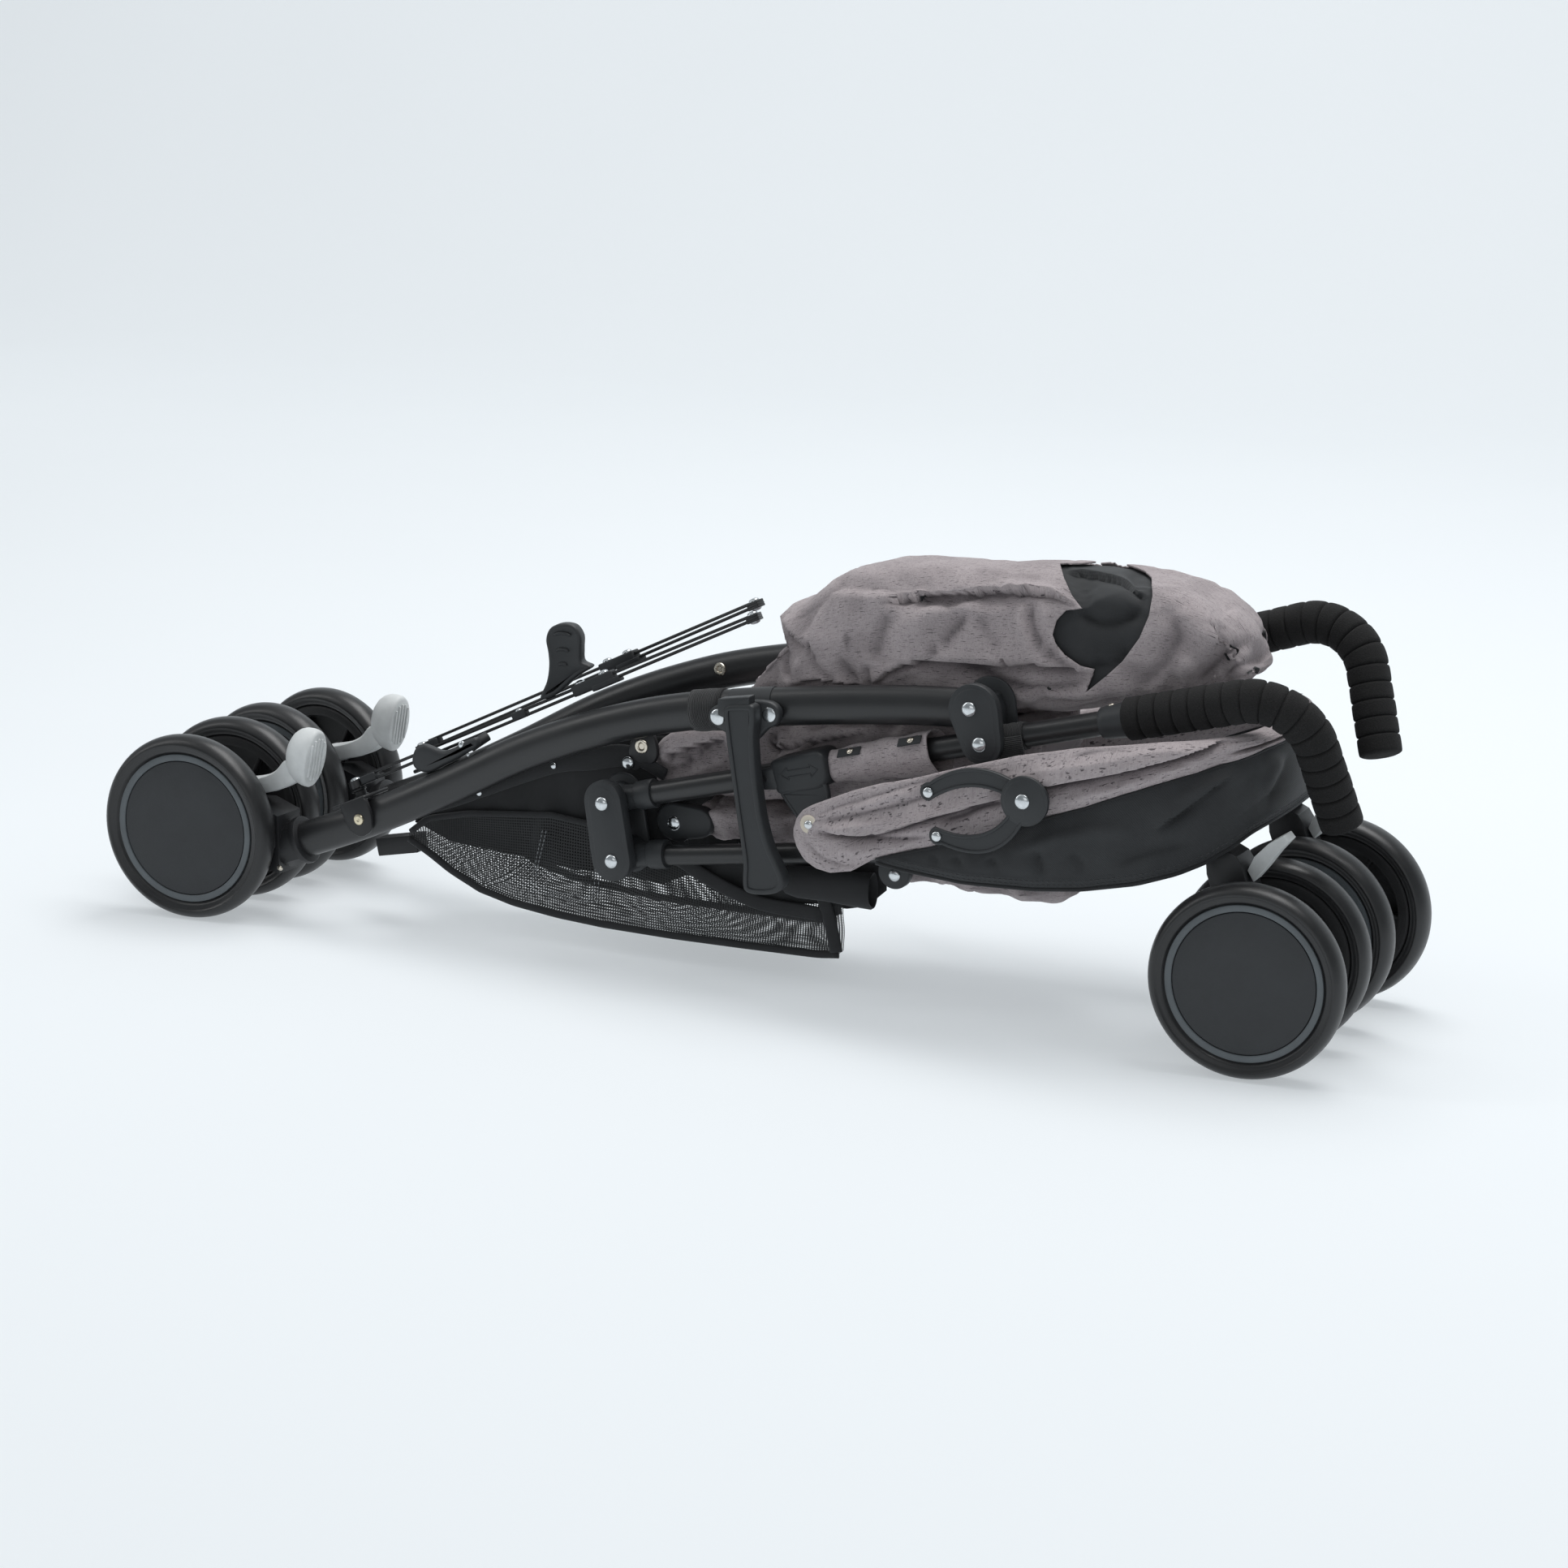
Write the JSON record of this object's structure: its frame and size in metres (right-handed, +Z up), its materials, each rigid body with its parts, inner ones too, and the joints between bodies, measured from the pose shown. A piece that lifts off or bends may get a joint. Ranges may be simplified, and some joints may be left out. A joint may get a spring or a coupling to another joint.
{
  "type": "folded umbrella stroller",
  "caption": "Compact umbrella stroller folded into a long bundle on its wheels, with hooked foam handles, folded canopy, seat bag and mesh basket.",
  "frame": {"origin": "centre of the bounding box's bottom, on the floor under the folded stroller", "axes": "+X from the rear wheels to the handles, +Y from the near side to the far side, +Z up"},
  "size_m": [1.0154, 0.2416, 0.3131],
  "materials": {
    "tyre": "matt black foam tread",
    "hub": "moulded dark plastic",
    "black_plastic": "fine grained",
    "grey_plastic": "satin",
    "frame_paint": "black powder coat",
    "foam": "matt foam",
    "melange_fabric": "woven melange",
    "black_fabric": "woven black",
    "mesh_fabric": "knitted net"
  },
  "bodies": {
    "near_frame": {"handle_tube_near": "frame_paint", "grip_near": "foam", "upper_joint_near": "black_plastic", "lower_joint_near": "black_plastic", "canopy_clip_near": "black_plastic", "seat_bag": "melange_fabric", "lower_seat": "melange_fabric", "calf_rest": "melange_fabric", "calf_bar": "black_plastic", "basket": "mesh_fabric", "basket_rail": "frame_paint", "canopy_fans": "melange_fabric"},
    "far_frame": {"handle_tube_far": "frame_paint", "grip_far": "foam", "upper_joint_far": "black_plastic", "lower_joint_far": "black_plastic", "canopy_clip_far": "black_plastic"},
    "canopy": {"canopy_visor": "black_fabric"},
    "canopy_far": {"canopy_hinge_far": "black_plastic"},
    "rear_leg_near": {"rear_leg_near": "frame_paint", "axle_housing_near": "black_plastic", "brace_bracket_near": "black_plastic", "latch_bracket": "black_plastic"},
    "rear_leg_far": {"rear_leg_far": "frame_paint", "axle_housing_far": "black_plastic", "brace_bracket_far": "black_plastic"},
    "release_pedal": {"release_pedal": "black_plastic"},
    "foot_catch": {"foot_catch": "black_plastic"},
    "latch_arm": {"latch_arm": "black_plastic"},
    "front_leg_near": {"front_leg_near": "frame_paint"},
    "caster_near": {"caster_fork_near": "black_plastic"},
    "swivel_lock_near": {"swivel_lock_near": "grey_plastic"},
    "brace_near": {"brace_bar_near": "frame_paint"},
    "brake_pedal_near": {"brake_pedal_near": "grey_plastic"},
    "rear_wheel_near_outer": {"rear_tyre_near_outer": "tyre", "rear_hub_near_outer": "hub"},
    "rear_wheel_near_inner": {"rear_tyre_near_inner": "tyre", "rear_hub_near_inner": "hub"},
    "front_wheel_near_outer": {"front_tyre_near_outer": "tyre", "front_hub_near_outer": "hub"},
    "front_wheel_near_inner": {"front_tyre_near_inner": "tyre", "front_hub_near_inner": "hub"},
    "stay_upper_near": {"stay_upper_near": "black_plastic"},
    "stay_lower_near": {"stay_lower_near": "black_plastic"},
    "front_leg_far": {"front_leg_far": "frame_paint"},
    "caster_far": {"caster_fork_far": "black_plastic"},
    "swivel_lock_far": {"swivel_lock_far": "grey_plastic"},
    "brace_far": {"brace_bar_far": "frame_paint"},
    "brake_pedal_far": {"brake_pedal_far": "grey_plastic"},
    "rear_wheel_far_outer": {"rear_tyre_far_outer": "tyre", "rear_hub_far_outer": "hub"},
    "rear_wheel_far_inner": {"rear_tyre_far_inner": "tyre", "rear_hub_far_inner": "hub"},
    "front_wheel_far_outer": {"front_tyre_far_outer": "tyre", "front_hub_far_outer": "hub"},
    "front_wheel_far_inner": {"front_tyre_far_inner": "tyre", "front_hub_far_inner": "hub"},
    "stay_upper_far": {"stay_upper_far": "black_plastic"},
    "stay_lower_far": {"stay_lower_far": "black_plastic"}
  },
  "joints": [
    {"name": "fold_near", "type": "hinge", "parent": "near_frame", "child": "rear_leg_near", "pos_m": [0.2242, -0.063, 0.223], "axis": [0, 1, 0], "range_deg": [0, 58]},
    {"name": "spread", "type": "slide", "parent": "near_frame", "child": "far_frame", "axis": [0, 1, 0], "range_m": [0, 0.3]},
    {"name": "fold_far", "type": "hinge", "parent": "far_frame", "child": "rear_leg_far", "pos_m": [0.21532, 0.063, 0.23959], "axis": [0, 1, 0], "range_deg": [0, 58]},
    {"name": "front_leg_near_hinge", "type": "hinge", "parent": "near_frame", "child": "front_leg_near", "pos_m": [-0.0518, -0.063, 0.086], "axis": [0, 1, 0], "range_deg": [0, 174]},
    {"name": "caster_near_swivel", "type": "hinge", "parent": "front_leg_near", "child": "caster_near", "pos_m": [0.4102, -0.066, 0.128], "axis": [-0.8572, 0, 0.515], "range_deg": [-10, 10]},
    {"name": "swivel_lock_near_hinge", "type": "hinge", "parent": "caster_near", "child": "swivel_lock_near", "pos_m": [0.4332, -0.066, 0.13], "axis": [0, 1, 0], "range_deg": [0, 20]},
    {"name": "brace_near_hinge", "type": "hinge", "parent": "rear_leg_near", "child": "brace_near", "pos_m": [-0.2988, -0.05, 0.109], "axis": [-0.4226, 0, 0.9063], "range_deg": [0, 25]},
    {"name": "brake_pedal_near_hinge", "type": "hinge", "parent": "rear_leg_near", "child": "brake_pedal_near", "pos_m": [-0.3988, -0.063, 0.098], "axis": [0, 1, 0], "range_deg": [0, 12]},
    {"name": "rear_wheel_near_outer_spin", "type": "hinge", "parent": "rear_leg_near", "child": "rear_wheel_near_outer", "pos_m": [-0.42375, -0.09787, 0.073], "axis": [0.0872, -0.9962, 0], "continuous": true},
    {"name": "rear_wheel_near_inner_spin", "type": "hinge", "parent": "rear_leg_near", "child": "rear_wheel_near_inner", "pos_m": [-0.42985, -0.02813, 0.073], "axis": [0.0872, -0.9962, 0], "continuous": true},
    {"name": "front_wheel_near_outer_spin", "type": "hinge", "parent": "caster_near", "child": "front_wheel_near_outer", "pos_m": [0.44068, -0.10141, 0.067], "axis": [0.0698, -0.9976, 0], "continuous": true},
    {"name": "front_wheel_near_inner_spin", "type": "hinge", "parent": "caster_near", "child": "front_wheel_near_inner", "pos_m": [0.43572, -0.03059, 0.067], "axis": [0.0698, -0.9976, 0], "continuous": true},
    {"name": "stay_upper_near_hinge", "type": "hinge", "parent": "near_frame", "child": "stay_upper_near", "pos_m": [0.2152, -0.1165, 0.174], "axis": [0, 1, 0], "range_deg": [0, 98.6]},
    {"name": "stay_lower_near_hinge", "type": "hinge", "parent": "stay_upper_near", "child": "stay_lower_near", "pos_m": [0.2872, -0.1165, 0.176], "axis": [0, 1, 0], "range_deg": [-129.8, 0]},
    {"name": "front_leg_far_hinge", "type": "hinge", "parent": "far_frame", "child": "front_leg_far", "pos_m": [-0.0518, 0.063, 0.086], "axis": [0, 1, 0], "range_deg": [0, 174]},
    {"name": "caster_far_swivel", "type": "hinge", "parent": "front_leg_far", "child": "caster_far", "pos_m": [0.4102, 0.066, 0.128], "axis": [-0.8572, 0, 0.515], "range_deg": [-10, 10]},
    {"name": "swivel_lock_far_hinge", "type": "hinge", "parent": "caster_far", "child": "swivel_lock_far", "pos_m": [0.4332, 0.066, 0.13], "axis": [0, 1, 0], "range_deg": [0, 20]},
    {"name": "brace_far_hinge", "type": "hinge", "parent": "rear_leg_far", "child": "brace_far", "pos_m": [-0.2988, 0.05, 0.109], "axis": [-0.4226, 0, 0.9063], "range_deg": [-25, 0]},
    {"name": "brake_pedal_far_hinge", "type": "hinge", "parent": "rear_leg_far", "child": "brake_pedal_far", "pos_m": [-0.40428, 0.063, 0.09871], "axis": [0, 1, 0], "range_deg": [0, 12]},
    {"name": "rear_wheel_far_outer_spin", "type": "hinge", "parent": "rear_leg_far", "child": "rear_wheel_far_outer", "pos_m": [-0.42858, 0.09787, 0.073], "axis": [0.0872, 0.9962, 0], "continuous": true},
    {"name": "rear_wheel_far_inner_spin", "type": "hinge", "parent": "rear_leg_far", "child": "rear_wheel_far_inner", "pos_m": [-0.43468, 0.02813, 0.073], "axis": [0.0872, 0.9962, 0], "continuous": true},
    {"name": "front_wheel_far_outer_spin", "type": "hinge", "parent": "caster_far", "child": "front_wheel_far_outer", "pos_m": [0.44068, 0.10141, 0.067], "axis": [0.0698, 0.9976, 0], "continuous": true},
    {"name": "front_wheel_far_inner_spin", "type": "hinge", "parent": "caster_far", "child": "front_wheel_far_inner", "pos_m": [0.43572, 0.03059, 0.067], "axis": [0.0698, 0.9976, 0], "continuous": true},
    {"name": "stay_upper_far_hinge", "type": "hinge", "parent": "far_frame", "child": "stay_upper_far", "pos_m": [0.2152, 0.1165, 0.174], "axis": [0, 1, 0], "range_deg": [0, 98.6]},
    {"name": "stay_lower_far_hinge", "type": "hinge", "parent": "stay_upper_far", "child": "stay_lower_far", "pos_m": [0.2872, 0.1165, 0.176], "axis": [0, 1, 0], "range_deg": [-129.8, 0]},
    {"name": "release_pedal_hinge", "type": "hinge", "parent": "brace_near", "child": "release_pedal", "pos_m": [-0.12392, -0.02516, 0.19651], "axis": [0, 1, 0], "range_deg": [0, 12]},
    {"name": "foot_catch_hinge", "type": "hinge", "parent": "brace_near", "child": "foot_catch", "pos_m": [-0.20342, -0.05115, 0.15524], "axis": [0, 1, 0], "range_deg": [0, 15]},
    {"name": "latch_arm_hinge", "type": "hinge", "parent": "rear_leg_near", "child": "latch_arm", "pos_m": [0.0572, -0.089, 0.204], "axis": [0, 1, 0], "range_deg": [0, 30]},
    {"name": "canopy_hinge", "type": "hinge", "parent": "near_frame", "child": "canopy", "pos_m": [0.1182, -0.105, 0.137], "axis": [0, 1, 0], "range_deg": [0, 66]},
    {"name": "canopy_spread", "type": "slide", "parent": "canopy", "child": "canopy_far", "axis": [0, 1, 0], "range_m": [0, 0.3]}
  ],
  "couplings": [
    {"joint": "spread", "follows": "fold_near", "m_per_rad": 0.2963},
    {"joint": "fold_far", "follows": "fold_near", "ratio": 1},
    {"joint": "front_leg_near_hinge", "follows": "fold_near", "ratio": 3},
    {"joint": "brace_near_hinge", "follows": "fold_near", "ratio": 0.431},
    {"joint": "stay_upper_near_hinge", "follows": "fold_near", "ratio": 1.7},
    {"joint": "stay_lower_near_hinge", "follows": "fold_near", "ratio": -2.2379},
    {"joint": "front_leg_far_hinge", "follows": "fold_near", "ratio": 3},
    {"joint": "brace_far_hinge", "follows": "fold_near", "ratio": -0.431},
    {"joint": "stay_upper_far_hinge", "follows": "fold_near", "ratio": 1.7},
    {"joint": "stay_lower_far_hinge", "follows": "fold_near", "ratio": -2.2379},
    {"joint": "canopy_hinge", "follows": "fold_near", "ratio": 1.1379},
    {"joint": "canopy_spread", "follows": "fold_near", "m_per_rad": 0.2963}
  ]
}
